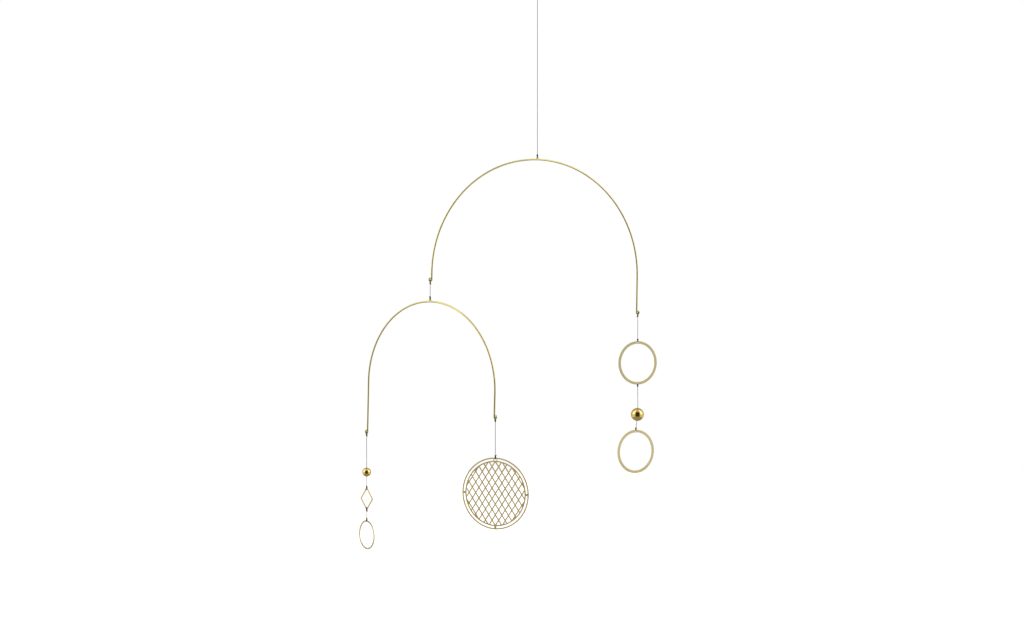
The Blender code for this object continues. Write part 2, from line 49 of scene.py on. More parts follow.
# %% [markdown]
# ## The camera
# The mobile was seen from about two and a half metres away, through a lens a little longer than normal,
# from about the height of the large arch's ends. A camera in the scene gets the same place, and is pitched
# down by a degree and a half. Its lens is worked out from a focal length in pixels of a picture that is
# 1024 pixels wide.

# %% Camera
FOCAL_PIXELS = 1900.0
PICTURE_PIXELS = 1024.0
SENSOR_WIDTH = 36.0
CAMERA_PLACE = (-0.03409, -2.55462, -0.39085)
CAMERA_UP_FROM_STRAIGHT_DOWN = 88.5

camera_data = bpy.data.cameras.new("studio_camera")
camera_data.sensor_width = SENSOR_WIDTH
camera_data.lens = SENSOR_WIDTH * FOCAL_PIXELS / PICTURE_PIXELS
camera = bpy.data.objects.new("studio_camera", camera_data)
camera.location = CAMERA_PLACE
camera.rotation_euler = (math.radians(CAMERA_UP_FROM_STRAIGHT_DOWN), 0.0, 0.0)
bpy.context.scene.collection.objects.link(camera)
bpy.context.scene.camera = camera
print("lens:", round(camera_data.lens, 1), "mm")

# %% [markdown]
# ## Where everything hangs
# A mobile hangs plumb, so its pieces can be placed by walking down from the ceiling hook. Each drop is
# measured from the bar that a thread is tied around to the next bar or ball. The walk needs the sizes of
# the wire, the arches and the sheet pieces, so those are named first. All sizes are in metres.

# %% Sizes
THREAD = 0.0007
KNOT_WIDTH = 0.0022
KNOT_HEIGHT = 0.003
TOUCH_GAP = 0.0003
HANGING_LOOP_WIDTH = 0.008
HANGING_LOOP_HEIGHT = 0.019

WIRE = 0.0021
END_LOOP = 0.0018
END_LOOP_TIP_GAP = 0.0004
EYE_WIRE = 0.001
EYE = 0.0013

SHEET = 0.0007
RING_BAR = 0.0008
RING = 0.03
RING_BAND = 0.0036
SMALL_RING_BAR = 0.0006
SMALL_RING = 0.0197
SMALL_RING_BAND = 0.0023
RHOMBUS_WIDTH = 0.0225
RHOMBUS_HEIGHT = 0.0329
RHOMBUS_BAND = 0.0022
RHOMBUS_CORNER = 0.0026
DISC = 0.0459
DISC_BAND = 0.0016
LARGE_BALL = 0.009
SMALL_BALL = 0.006
KNOT_ROOM_DEPTH = 0.0036

HANGING_DROP = 0.2392
LINK_DROP = 0.0239
LINK_GRIP_SHIFT = 0.0004
UPPER_RING_DROP = 0.0381
LARGE_BALL_DROP = 0.0418
LARGE_BALL_SHIFT = 0.0003
LOWER_RING_DROP = 0.0216
LOWER_RING_SHIFT = 0.0024
DISC_DROP = 0.0508
SMALL_BALL_DROP = 0.053
RHOMBUS_DROP = 0.0222
SMALL_RING_DROP = 0.0162

UP = Vector((0.0, 0.0, 1.0))
RIGHT = Vector((1.0, 0.0, 0.0))

# %% The two arches as frames of their own
EYE_HEIGHT = WIRE / 2 + EYE - EYE_WIRE / 2


def level_line(yaw):
    """The level direction of a yaw in degrees."""
    return Vector((math.cos(math.radians(yaw)), math.sin(math.radians(yaw)), 0.0))


def hang_arch(arch, held_at):
    """Hang an arch by its eye. Its frame has the crown at its origin."""
    yaw = Matrix.Rotation(math.radians(arch["yaw"]), 4, "Z")
    tilt = Matrix.Rotation(math.radians(arch["tilt"]), 4, "Y")
    arch["held_at"] = held_at
    arch["frame"] = Matrix.Translation(held_at) @ yaw @ tilt @ Matrix.Translation(-UP * (EYE_HEIGHT + EYE))


def loop_middle(arch, side):
    """The middle of an arch's end loop in the arch's frame, on the left (-1) or the right (1)."""
    across = arch["offset"] + side * (arch["radius"] + END_LOOP)
    return Vector((across, 0.0, -arch["radius"] - arch["legs"][side]))


def loop_bottom(arch, side, shift=0.0):
    """The place on an end loop where a thread hangs."""
    drop = math.sqrt(END_LOOP ** 2 - shift ** 2)
    return arch["frame"] @ loop_middle(arch, side) + level_line(arch["yaw"]) * side * shift - UP * drop


large_arch = {"radius": 0.1542, "legs": {-1: 0.0089, 1: 0.0503}, "offset": 0.0021, "yaw": 25.8, "tilt": 0.86}
small_arch = {"radius": 0.1109, "legs": {-1: 0.0694, 1: 0.0313}, "offset": 0.003, "yaw": -39.4, "tilt": 1.8}
hang_arch(large_arch, -UP * HANGING_DROP)
link_top = loop_bottom(large_arch, -1, LINK_GRIP_SHIFT)
hang_arch(small_arch, link_top - UP * LINK_DROP)
print("large arch's crown:", [round(value, 4) for value in large_arch["frame"].translation])
print("small arch's crown:", [round(value, 4) for value in small_arch["frame"].translation])

# %% The bars that the threads are tied around
UPPER_RING_YAW = 25.0
LOWER_RING_YAW = 30.0
SMALL_RING_YAW = -54.0
RHOMBUS_YAW = -35.0
DISC_YAW = -22.5
LARGE_BALL_TILT = 4.0

ring_thread_top = loop_bottom(large_arch, 1)
upper_ring_top = ring_thread_top - UP * UPPER_RING_DROP
upper_ring_middle = upper_ring_top - UP * (RING - RING_BAR / 2)
upper_ring_bottom = upper_ring_middle - UP * (RING - RING_BAR / 2)
large_ball_middle = upper_ring_bottom - UP * LARGE_BALL_DROP - RIGHT * LARGE_BALL_SHIFT
lower_ring_top = upper_ring_bottom - UP * (LARGE_BALL_DROP + LOWER_RING_DROP) - RIGHT * LOWER_RING_SHIFT
lower_ring_middle = lower_ring_top - UP * (RING - RING_BAR / 2)

disc_thread_top = loop_bottom(small_arch, 1)
disc_top = disc_thread_top - UP * DISC_DROP
disc_middle = disc_top - UP * (DISC - DISC_BAND / 2)

ball_thread_top = loop_bottom(small_arch, -1)
small_ball_middle = ball_thread_top - UP * SMALL_BALL_DROP
rhombus_half_angle = math.atan2(RHOMBUS_WIDTH, RHOMBUS_HEIGHT)
rounded_top = RHOMBUS_HEIGHT / 2 - RHOMBUS_CORNER * (1 / math.sin(rhombus_half_angle) - 1)
opening_top = RHOMBUS_HEIGHT / 2 - RHOMBUS_BAND / math.sin(rhombus_half_angle)
rhombus_bar = rounded_top - opening_top
rhombus_top = small_ball_middle - UP * RHOMBUS_DROP
rhombus_middle = rhombus_top - UP * (rounded_top + opening_top) / 2
rhombus_bottom = rhombus_middle - UP * (rounded_top + opening_top) / 2
small_ring_top = rhombus_bottom - UP * SMALL_RING_DROP
small_ring_middle = small_ring_top - UP * (SMALL_RING - SMALL_RING_BAR / 2)

# %% [markdown]
# ## Handing a piece over
# Every piece ends the same way. Its bmesh becomes a mesh, and the mesh an object at the origin. The piece
# is named after the node it stands for, that node is hidden, and the piece is attached to the body it moves
# with. Faces are turned outwards here, because a spin or a mirror can leave them inside out.

# %% A finished piece
def hand_over(shape, node, sharp_angle):
    """Make an object of a shape, in place of a node. Edges over the sharp angle, in degrees, stay sharp."""
    bmesh.ops.recalc_face_normals(shape, faces=shape.faces)
    mesh = bpy.data.meshes.new(node + "_shape")
    shape.to_mesh(mesh)
    shape.free()
    mesh.shade_smooth()
    mesh.set_sharp_from_angle(angle=math.radians(sharp_angle))
    piece = bpy.data.objects.new(node + "_piece", mesh)
    bpy.context.scene.collection.objects.link(piece)
    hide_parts(node)
    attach(piece, "root")
    print(piece.name, len(mesh.polygons), "faces")
    return piece


# %% [markdown]
# ## Bending and drawing a wire
# A wire is one round section that is drawn along a line and bent around a point. Both are one bmesh
# operator each: an extrude with a translate draws it on, and a spin bends it. A spin with a rise at every
# step winds it into a helix, which serves for twisted thread and for the turns of a knot. The section is
# handed on from one step to the next, so that the wire stays one closed skin.

# %% Section, draw and bend
def start_section(shape, middle, direction, radius, sides):
    """A round section at the start of a wire that sets off in a direction."""
    turn = direction.to_track_quat("Z", "Y").to_matrix().to_4x4()
    made = bmesh.ops.create_circle(shape, cap_ends=True, segments=sides, radius=radius,
                                   matrix=Matrix.Translation(middle) @ turn)
    return made["verts"][0].link_faces[0]


def section_of(geometry):
    """The one face in a list of geometry."""
    return next(part for part in geometry if isinstance(part, bmesh.types.BMFace))


def with_rim(section):
    """A section with its edges and corners, so that no copy of it is left inside the wire."""
    return [section] + list(section.edges) + list(section.verts)


def draw_on(shape, section, step):
    """Draw a wire on by a straight step."""
    made = bmesh.ops.extrude_face_region(shape, geom=with_rim(section))
    drawn = section_of(made["geom"])
    bmesh.ops.translate(shape, vec=step, verts=drawn.verts)
    return drawn


def bend(shape, section, middle, axis, angle, steps, rise=(0.0, 0.0, 0.0)):
    """Bend a wire around an axis, with a rise at every step."""
    made = bmesh.ops.spin(shape, geom=with_rim(section), cent=middle, axis=axis, dvec=rise, angle=angle,
                          steps=steps, use_duplicate=False)
    return section_of(made["geom_last"])


print("helpers for a wire:", start_section.__name__, draw_on.__name__, bend.__name__)

# %% [markdown]
# ## Black thread
# The thread is a thin polyester twine of three plies, which is what keeps it round and stiff enough to tie.
# A section with three lobes is spun along the line with a small rise, and so comes out twisted like the
# real one. A section of twelve corners is enough for a thread thinner than a millimetre.

# %% Twisted thread
PLIES = 3
CORNERS_A_PLY = 4
PLY_GROOVE = 0.3
PLY_PITCH = 0.0019
STEPS_A_PITCH = 8
WOUND_SIDES = 8
THREAD_SHARP = 60.0


def twist(shape, start, end):
    """A straight length of twisted thread."""
    line = end - start
    section = start_section(shape, start, line, THREAD / 2, PLIES * CORNERS_A_PLY)
    for corner in list(section.verts)[2::CORNERS_A_PLY]:
        bmesh.ops.translate(shape, vec=(start - corner.co) * PLY_GROOVE, verts=[corner])
    steps = max(4, round(line.length / PLY_PITCH * STEPS_A_PITCH))
    bend(shape, section, start, line, 2 * math.pi * steps / STEPS_A_PITCH, steps, line / steps)


def wind(shape, middle, axis, arm, turns, advance, steps_a_turn):
    """Thread wound around an axis: its section starts on an arm and the turns advance along the axis."""
    axis = axis.normalized()
    section = start_section(shape, middle + arm, axis.cross(arm), THREAD / 2, WOUND_SIDES)
    steps = round(steps_a_turn * turns)
    bend(shape, section, middle, axis, 2 * math.pi * turns, steps, axis * advance / steps_a_turn)


# %% [markdown]
# ## Knots
# Every thread ends in a knot drawn tight against the bar it goes around. Such a knot is a short barrel of
# turns around the thread, with a cut tail that sticks out. The turns are a helix, so they are wound with
# the same spin, and one slanting turn lies over them.

# %% Knot
KNOT_TURNS = 3.2
KNOT_STEPS = 14
KNOT_ARM = (KNOT_WIDTH - THREAD) / 2
SLANT = 52.0
SLANT_ARM = 1.1 * KNOT_ARM
SLANT_STEPS = 18
TAIL_START = 0.0004
TAIL_LINE = Vector((0.62, 0.25, -0.74))
TAIL = 0.0016
BALL_KNOT_TAIL = 0.0008


def knot(shape, middle, turn, tail=TAIL, tail_side=1):
    """A barrel knot around an upright thread. Its tail points down (1) or up (-1)."""
    around = Matrix.Rotation(turn, 3, "Z")
    advance = (KNOT_HEIGHT - THREAD) / KNOT_TURNS
    first_turn = middle - UP * advance * KNOT_TURNS / 2
    wind(shape, first_turn, UP, around @ RIGHT * KNOT_ARM, KNOT_TURNS, advance, KNOT_STEPS)
    slant = around @ Matrix.Rotation(math.radians(SLANT), 3, "Y") @ UP
    across = around @ Vector((0.0, 1.0, 0.0))
    wind(shape, middle, slant, across * SLANT_ARM, 1.0, 0.0, SLANT_STEPS)
    tail_start = middle + around @ Vector((KNOT_ARM, 0.0, -TAIL_START * tail_side))
    tail_line = around @ Vector((TAIL_LINE.x, TAIL_LINE.y, TAIL_LINE.z * tail_side)) * tail
    twist(shape, tail_start, tail_start + tail_line)


# %% [markdown]
# ## Bars and hitches
# A bar is whatever a thread is tied around: the wire of a loop or an eye, or the strip of a ring. It has a
# place, the yaw it runs in, a height, and a reach, which is how far off its middle the thread has to go
# around it. The thread takes two turns around the bar, and the knot sits just under it or over it.

# %% Bars and hitches
HITCH_TURNS = 2.0
HITCH_PITCH = 0.52 * THREAD
HITCH_STEPS = 18
CORNER_SLACK = 0.00005


def new_bar(at, yaw, height, reach):
    """A bar that a thread is tied around."""
    return {"at": at, "yaw": yaw, "height": height, "reach": reach}


def wire_bar(at, yaw, wire=WIRE):
    """A bar of round wire."""
    return new_bar(at, yaw, wire, wire / 2)


def strip_bar(at, yaw, height):
    """A bar of sheet, which the thread goes around from corner to corner."""
    return new_bar(at, yaw, height, math.hypot(height, SHEET) / 2)


def thread_end(bar, below):
    """Where a thread starts, below (1) or above (-1) its bar."""
    return bar["at"] - UP * below * (bar["reach"] + THREAD / 2)


def tie_end(shape, bar, below, turn):
    """A thread's turns around its bar, and the knot below (1) or above (-1) it."""
    along = level_line(bar["yaw"])
    arm = UP * (bar["reach"] + THREAD / 2)
    wind(shape, bar["at"] - along * HITCH_PITCH, along, arm, HITCH_TURNS, HITCH_PITCH, HITCH_STEPS)
    knot_gap = bar["height"] / 2 + TOUCH_GAP + KNOT_HEIGHT / 2
    knot(shape, bar["at"] - UP * below * knot_gap, turn, tail_side=below)


rhombus_reach = rhombus_bar / 2 + THREAD / 2 * (1 / math.sin(rhombus_half_angle) - 1) + CORNER_SLACK
bars = {
    "large_eye": wire_bar(large_arch["held_at"], large_arch["yaw"], EYE_WIRE),
    "large_left_loop": wire_bar(link_top, large_arch["yaw"]),
    "large_right_loop": wire_bar(ring_thread_top, large_arch["yaw"]),
    "small_eye": wire_bar(small_arch["held_at"], small_arch["yaw"], EYE_WIRE),
    "small_left_loop": wire_bar(ball_thread_top, small_arch["yaw"]),
    "small_right_loop": wire_bar(disc_thread_top, small_arch["yaw"]),
    "upper_ring_top": strip_bar(upper_ring_top, UPPER_RING_YAW, RING_BAR),
    "upper_ring_bottom": strip_bar(upper_ring_bottom, UPPER_RING_YAW, RING_BAR),
    "lower_ring_top": strip_bar(lower_ring_top, LOWER_RING_YAW, RING_BAR),
    "disc_top": strip_bar(disc_top, DISC_YAW, DISC_BAND),
    "rhombus_top": new_bar(rhombus_top, RHOMBUS_YAW, rhombus_bar, rhombus_reach),
    "rhombus_bottom": new_bar(rhombus_bottom, RHOMBUS_YAW, rhombus_bar, rhombus_reach),
    "small_ring_top": strip_bar(small_ring_top, SMALL_RING_YAW, SMALL_RING_BAR),
}
print(len(bars), "bars to tie a thread around")

# %% [markdown]
# ## The main thread
# The thread that everything hangs on runs straight down from its loop to the eye on the large arch. The
# loop is bent round the top with a spin, and its two strands are drawn in to the knot below it. Above the
# picture's edge the loop is a guess: this is how such a mobile is usually hung up.

# %% Main thread with its loop
STRAND_OFF_MIDDLE = 0.0004
LOOP_SIDES = 12
LOOP_STEPS = 40
LOOP_KNOT_TURN = 0.4

shape = bmesh.new()
loop_radius = HANGING_LOOP_WIDTH / 2
loop_top = UP * (THREAD / 2 - loop_radius)
loop_knot = -UP * HANGING_LOOP_HEIGHT
narrowing = math.asin(loop_radius / (loop_top - loop_knot).z)
side = RIGHT * math.cos(narrowing) - UP * math.sin(narrowing)
strand_foot = loop_knot + RIGHT * STRAND_OFF_MIDDLE
strand_head = loop_top + side * loop_radius
section = start_section(shape, strand_foot, strand_head - strand_foot, THREAD / 2, LOOP_SIDES)
section = draw_on(shape, section, strand_head - strand_foot)
section = bend(shape, section, loop_top, (0.0, -1.0, 0.0), math.pi + 2 * narrowing, LOOP_STEPS)
strand_head.x = -strand_head.x
strand_foot.x = -strand_foot.x
draw_on(shape, section, strand_foot - strand_head)
twist(shape, loop_knot, thread_end(bars["large_eye"], -1))
knot(shape, loop_knot, LOOP_KNOT_TURN)
tie_end(shape, bars["large_eye"], -1, 1.9)
hanging_thread = hand_over(shape, "hanging_thread", THREAD_SHARP)

# %% Turns along the main thread's loop, which nothing uses
ARC_POINTS = 24


for step in range(ARC_POINTS + 1):
    turn = -narrowing + (math.pi + 2 * narrowing) * step / ARC_POINTS

# %% [markdown]
# ## The threads between the pieces
# Each of these is tied around a bar above and a bar below. The metal holds both ends and the weight pulls
# it straight, so the thread is one straight twist with a hitch and a knot at either end. Where it carries
# a ball, it goes through the bore, and a knot low in the ball holds it.

# %% Straight threads
def tie(node, top, bottom, top_turn):
    """A thread tied around one bar above and one below, which stands for a node."""
    shape = bmesh.new()
    twist(shape, thread_end(bars[top], 1), thread_end(bars[bottom], -1))
    tie_end(shape, bars[top], 1, top_turn)
    tie_end(shape, bars[bottom], -1, top_turn + 2.0)
    return hand_over(shape, node, THREAD_SHARP)


link_thread = tie("link_thread", "large_left_loop", "small_eye", 0.7)
ring_thread = tie("ring_thread", "large_right_loop", "upper_ring_top", 2.6)
disc_thread = tie("disc_thread", "small_right_loop", "disc_top", 4.1)
short_thread = tie("short_thread", "rhombus_bottom", "small_ring_top", 5.2)

# %% Threads that carry a ball
def ball_knot(ball):
    """How far below a ball's middle its knot sits, inside the ball."""
    return ball - KNOT_ROOM_DEPTH + TOUCH_GAP + KNOT_HEIGHT / 2


ball_axis = Matrix.Rotation(math.radians(LARGE_BALL_TILT), 3, "Y") @ UP
large_ball_line = [thread_end(bars["upper_ring_bottom"], 1)]
large_ball_line.append(large_ball_middle + ball_axis * LARGE_BALL)
large_ball_line.append(large_ball_middle - ball_axis * ball_knot(LARGE_BALL))
large_ball_line.append(thread_end(bars["lower_ring_top"], -1))
shape = bmesh.new()
for start, end in zip(large_ball_line, large_ball_line[1:]):
    twist(shape, start, end)
tie_end(shape, bars["upper_ring_bottom"], 1, 1.2)
knot(shape, large_ball_line[2], 3.0, tail=BALL_KNOT_TAIL)
tie_end(shape, bars["lower_ring_top"], -1, 5.0)
ball_thread = hand_over(shape, "ball_thread", THREAD_SHARP)

shape = bmesh.new()
twist(shape, thread_end(bars["small_left_loop"], 1), thread_end(bars["rhombus_top"], -1))
tie_end(shape, bars["small_left_loop"], 1, 0.2)
knot(shape, small_ball_middle - UP * ball_knot(SMALL_BALL), 1.0, tail=BALL_KNOT_TAIL)
tie_end(shape, bars["rhombus_top"], -1, 3.9)
small_ball_thread = hand_over(shape, "small_ball_thread", THREAD_SHARP)

# %% [markdown]
# ## The wire arches
# Each arch is one length of hard brass wire bent over a round former, with the legs left straight. The ends
# are turned outwards into small loops with round-nose pliers, and a ring of thinner wire is soldered on
# where the arch balances. The section starts at the tip of the left loop and is bent and drawn through the
# whole arch, so the skin has no seams.

# %% Wire arches
LOOP_SWEEP = 2 * math.pi - math.acos((END_LOOP - WIRE / 2 - END_LOOP_TIP_GAP) / (END_LOOP + WIRE / 2))
WIRE_SIDES = 20
ARCH_BEND_STEPS = 128
END_LOOP_STEPS = 30
TIP_ROUNDING = 0.00028
WIRE_SHARP = 50.0
EYE_SIDES = 14
EYE_STEPS = 40
SOLDER_HALF_SIZE = (0.00165, 0.00094, 0.00062)
SOLDER_HEIGHT = 0.42 * WIRE
FORWARD = (0.0, 1.0, 0.0)
BACKWARD = (0.0, -1.0, 0.0)


def round_tip(shape, section):
    """File the sharp rim off the cut end of a wire."""
    bmesh.ops.bevel(shape, geom=list(section.edges), offset=TIP_ROUNDING, segments=3, affect="EDGES",
                    profile=0.5, material=-1, offset_type="OFFSET")


def add_eye(shape):
    """A ring of thin wire on the crown, with the drop of solder that holds it."""
    middle = UP * EYE_HEIGHT
    section = start_section(shape, middle + RIGHT * EYE, UP, EYE_WIRE / 2, EYE_SIDES)
    rim = list(section.edges) + list(section.verts)
    bmesh.ops.delete(shape, geom=[section], context="FACES_ONLY")
    bmesh.ops.spin(shape, geom=rim, cent=middle, axis=FORWARD, angle=2 * math.pi, steps=EYE_STEPS,
                   use_merge=True)
    solder = Matrix.Translation(UP * SOLDER_HEIGHT) @ Matrix.Diagonal((*SOLDER_HALF_SIZE, 1.0))
    bmesh.ops.create_uvsphere(shape, u_segments=24, v_segments=14, radius=1.0, matrix=solder)


def make_arch(node, arch):
    """One bent wire with its loops and its eye."""
    shape = bmesh.new()
    left = loop_middle(arch, -1)
    right = loop_middle(arch, 1)
    tip_arm = Matrix.Rotation(LOOP_SWEEP, 3, "Y") @ RIGHT * END_LOOP
    first = start_section(shape, left + tip_arm, Vector(BACKWARD).cross(tip_arm), WIRE / 2, WIRE_SIDES)
    section = bend(shape, first, left, BACKWARD, LOOP_SWEEP, END_LOOP_STEPS)
    section = draw_on(shape, section, UP * arch["legs"][-1])
    arch_middle = Vector((arch["offset"], 0.0, -arch["radius"]))
    section = bend(shape, section, arch_middle, FORWARD, math.pi, ARCH_BEND_STEPS)
    section = draw_on(shape, section, -UP * arch["legs"][1])
    last = bend(shape, section, right, BACKWARD, LOOP_SWEEP, END_LOOP_STEPS)
    for tip in (first, last):
        round_tip(shape, tip)
    add_eye(shape)
    bmesh.ops.transform(shape, matrix=arch["frame"], verts=shape.verts)
    return hand_over(shape, node, WIRE_SHARP)


large_arch_wire = make_arch("large_arch", large_arch)
small_arch_wire = make_arch("small_arch", small_arch)

# %% [markdown]
# ## Pieces of brass sheet
# The rings and the rhombus are cut from sheet and tumbled, which breaks their sharp edges. A ring's blank is
# made from two circles that are bridged into a band and extruded to the sheet's thickness. Its lugs are
# joined on and its holes cut out with Boolean modifiers. The rhombus is a filled outline with its opening cut
# out in the same way, and has no holes. A narrow bevel on every sharp edge catches the light as the tumbled
# edge does. Each blank is made lying flat, where it is easy to think about, and stood up at the end.

# %% Blank, lug, hole and broken edge
BROKEN_EDGE = 0.00009
WELD = 0.000004
SLIVER = 0.000002
FLAT = 0.5
SHARP = 50.0
FACETED = 20.0


def ring_blank(outer, inner, sides):
    """A flat band between two circles."""
    shape = bmesh.new()
    for radius in (outer, inner):
        bmesh.ops.create_circle(shape, segments=sides, radius=radius)
    bmesh.ops.bridge_loops(shape, edges=shape.edges)
    return shape


def thicken(shape, thickness):
    """Give a flat shape its thickness, half of it on either side."""
    bmesh.ops.translate(shape, vec=(0.0, 0.0, -thickness / 2), verts=shape.verts)
    made = bmesh.ops.extrude_face_region(shape, geom=shape.faces)
    top = [part for part in made["geom"] if isinstance(part, bmesh.types.BMVert)]
    bmesh.ops.translate(shape, vec=(0.0, 0.0, thickness), verts=top)
    bmesh.ops.recalc_face_normals(shape, faces=shape.faces)


def loose_object(shape, name):
    """A helper object that is used up by a modifier."""
    mesh = bpy.data.meshes.new(name)
    shape.to_mesh(mesh)
    shape.free()
    helper = bpy.data.objects.new(name, mesh)
    bpy.context.scene.collection.objects.link(helper)
    return helper


def peg(radius, height, sides, place):
    """An upright round peg, to join on as a lug or to cut out as a hole."""
    shape = bmesh.new()
    bmesh.ops.create_cone(shape, cap_ends=True, segments=sides, radius1=radius, radius2=radius, depth=height,
                          matrix=Matrix.Translation(place))
    return shape


def worked(blank, joined, cut):
    """A blank with some shapes joined on and others cut out, as a new shape."""
    base = loose_object(blank, "blank")
    helpers = []
    for operation, shapes in (("UNION", joined), ("DIFFERENCE", cut)):
        for tool in shapes:
            helper = loose_object(tool, "tool")
            modifier = base.modifiers.new(operation, "BOOLEAN")
            modifier.operation = operation
            modifier.solver = "EXACT"
            modifier.object = helper
            helpers.append(helper)
    bpy.context.view_layer.update()
    result = bpy.data.meshes.new_from_object(base.evaluated_get(bpy.context.evaluated_depsgraph_get()))
    for used in helpers + [base]:
        bpy.data.objects.remove(used, do_unlink=True)
    shape = bmesh.new()
    shape.from_mesh(result)
    bmesh.ops.remove_doubles(shape, verts=shape.verts, dist=WELD)
    return shape


def join_flat(shape):
    """Join the flat faces that a Boolean has split, so that a bevel runs on along whole edges."""
    bmesh.ops.dissolve_limit(shape, angle_limit=math.radians(FLAT), verts=shape.verts, edges=shape.edges)


def break_edges(shape, width=BROKEN_EDGE, segments=2, clamp=True):
    """A narrow bevel on every sharp edge."""
    limit = math.radians(SHARP)
    sharp = [edge for edge in shape.edges if edge.is_manifold and edge.calc_face_angle() > limit]
    bmesh.ops.bevel(shape, geom=sharp, offset=width, segments=segments, affect="EDGES", profile=0.5,
                    material=-1, offset_type="OFFSET", clamp_overlap=clamp)
    bmesh.ops.dissolve_degenerate(shape, dist=SLIVER, edges=shape.edges)


def stand_up(shape, middle, yaw):
    """Stand a flat shape upright at its place."""
    turn = Matrix.Rotation(math.radians(yaw), 4, "Z") @ Matrix.Rotation(math.radians(90), 4, "X")
    bmesh.ops.transform(shape, matrix=Matrix.Translation(middle) @ turn, verts=shape.verts)


# %% Rings
RING_SIDES = 144
LUG_SIDES = 32
HOLE_SIDES = 28
LARGE_RING_KIND = {"radius": RING, "band": RING_BAND, "bar": RING_BAR, "hole": 0.001, "lug_wall": 0.0011}
SMALL_RING_KIND = {"radius": SMALL_RING, "band": SMALL_RING_BAND, "bar": SMALL_RING_BAR, "hole": 0.0007,
                   "lug_wall": 0.0006}


def make_ring(node, kind, lug_sides, middle, yaw):
    """A flat ring with a drilled lug on each of the given sides, the top (1) or the bottom (-1)."""
    blank = ring_blank(kind["radius"], kind["radius"] - kind["band"], RING_SIDES)
    thicken(blank, SHEET)
    places = [Vector((0.0, side * (kind["radius"] - kind["bar"] - kind["hole"]), 0.0)) for side in lug_sides]
    lugs = [peg(kind["hole"] + kind["lug_wall"], SHEET, LUG_SIDES, place) for place in places]
    holes = [peg(kind["hole"], 3 * SHEET, HOLE_SIDES, place) for place in places]
    shape = worked(blank, lugs, holes)
    join_flat(shape)
    break_edges(shape)
    stand_up(shape, middle, yaw)
    return hand_over(shape, node, FACETED)


upper_ring = make_ring("upper_ring", LARGE_RING_KIND, (1, -1), upper_ring_middle, UPPER_RING_YAW)
lower_ring = make_ring("lower_ring", LARGE_RING_KIND, (1,), lower_ring_middle, LOWER_RING_YAW)
small_ring = make_ring("small_ring", SMALL_RING_KIND, (1,), small_ring_middle, SMALL_RING_YAW)

# %% Rhombus
RHOMBUS_BROKEN_EDGE = 0.00012
CORNER_SEGMENTS = 10


def sharp_rhombus(height):
    """A flat rhombus of the given height, with sharp corners."""
    shape = bmesh.new()
    bmesh.ops.create_circle(shape, cap_ends=True, segments=4, radius=height / 2)
    narrow = Matrix.Diagonal((RHOMBUS_WIDTH / RHOMBUS_HEIGHT, 1.0, 1.0, 1.0))
    bmesh.ops.transform(shape, matrix=narrow, verts=shape.verts)
    return shape


def round_corners(shape):
    """Round the corners of a flat rhombus with one radius."""
    for corner in list(shape.verts):
        half_angle = rhombus_half_angle
        if abs(corner.co.x) > abs(corner.co.y):
            half_angle = math.pi / 2 - rhombus_half_angle
        bmesh.ops.bevel(shape, geom=[corner], offset=RHOMBUS_CORNER / math.tan(half_angle),
                        segments=CORNER_SEGMENTS, affect="VERTICES", profile=0.5, material=-1,
                        offset_type="OFFSET")


blank = sharp_rhombus(RHOMBUS_HEIGHT)
round_corners(blank)
thicken(blank, SHEET)
opening = sharp_rhombus(2 * opening_top)
thicken(opening, 3 * SHEET)
shape = worked(blank, [], [opening])
join_flat(shape)
break_edges(shape, RHOMBUS_BROKEN_EDGE, 3)
stand_up(shape, rhombus_middle, RHOMBUS_YAW)
rhombus = hand_over(shape, "rhombus", FACETED)

# %% [markdown]
# ## The lattice disc
# The disc is one piece of sheet, cut or etched right through: two thin rings, and inside the inner one a
# lattice of strips. A grid of cells is sheared so that each cell is a rhombus, and a round of cutting planes
# trims it to a circle. Each cell is then inset by half a strip and its middle taken out, which leaves the
# strips in one flat mesh with no overlaps. Cells too small to cut out stay solid, as they do on the real one.

# %% Lattice inside the inner ring
RING_SPACING = 0.0041
INNER_RING = DISC - DISC_BAND / 2 - RING_SPACING
STRIP = 0.0014
LEAST_OPENING = 0.0002
CELLS_ACROSS = 9
CELLS_DOWN = 6
TRIM_PLANES = 96
CLOSE_CORNERS = 0.0003
ON_PLANE = 0.00001

cell_width = 2 * INNER_RING / CELLS_ACROSS
cell_height = 2 * INNER_RING / CELLS_DOWN
trim_radius = INNER_RING - DISC_BAND / 2 + STRIP / 2
lattice = bmesh.new()
grid_cells = 2 * CELLS_ACROSS
bmesh.ops.create_grid(lattice, x_segments=grid_cells, y_segments=grid_cells, size=grid_cells / 2)
shear = Matrix.Identity(4)
shear[0][0] = shear[0][1] = cell_width / 2
shear[1][0] = cell_height / 2
shear[1][1] = -cell_height / 2
bmesh.ops.transform(lattice, matrix=shear, verts=lattice.verts)
for plane in range(TRIM_PLANES):
    turn = 2 * math.pi * plane / TRIM_PLANES
    outwards = Vector((math.cos(turn), math.sin(turn), 0.0))
    geometry = list(lattice.verts) + list(lattice.edges) + list(lattice.faces)
    bmesh.ops.bisect_plane(lattice, geom=geometry, dist=ON_PLANE, plane_co=outwards * trim_radius,
                           plane_no=outwards, clear_outer=True)
bmesh.ops.remove_doubles(lattice, verts=lattice.verts, dist=CLOSE_CORNERS)


def room_in(face):
    """The distance from a cell's middle to the nearest of its edges."""
    middle = face.calc_center_median_weighted()
    distances = []
    for edge in face.edges:
        start, end = (corner.co for corner in edge.verts)
        distances.append((middle - start).cross((end - start).normalized()).length)
    return min(distances)


open_cells = [face for face in lattice.faces if room_in(face) > STRIP / 2 + LEAST_OPENING]
bmesh.ops.inset_individual(lattice, faces=open_cells, thickness=STRIP / 2, use_even_offset=True)
bmesh.ops.delete(lattice, geom=open_cells, context="FACES")
print("lattice:", len(open_cells), "open cells")

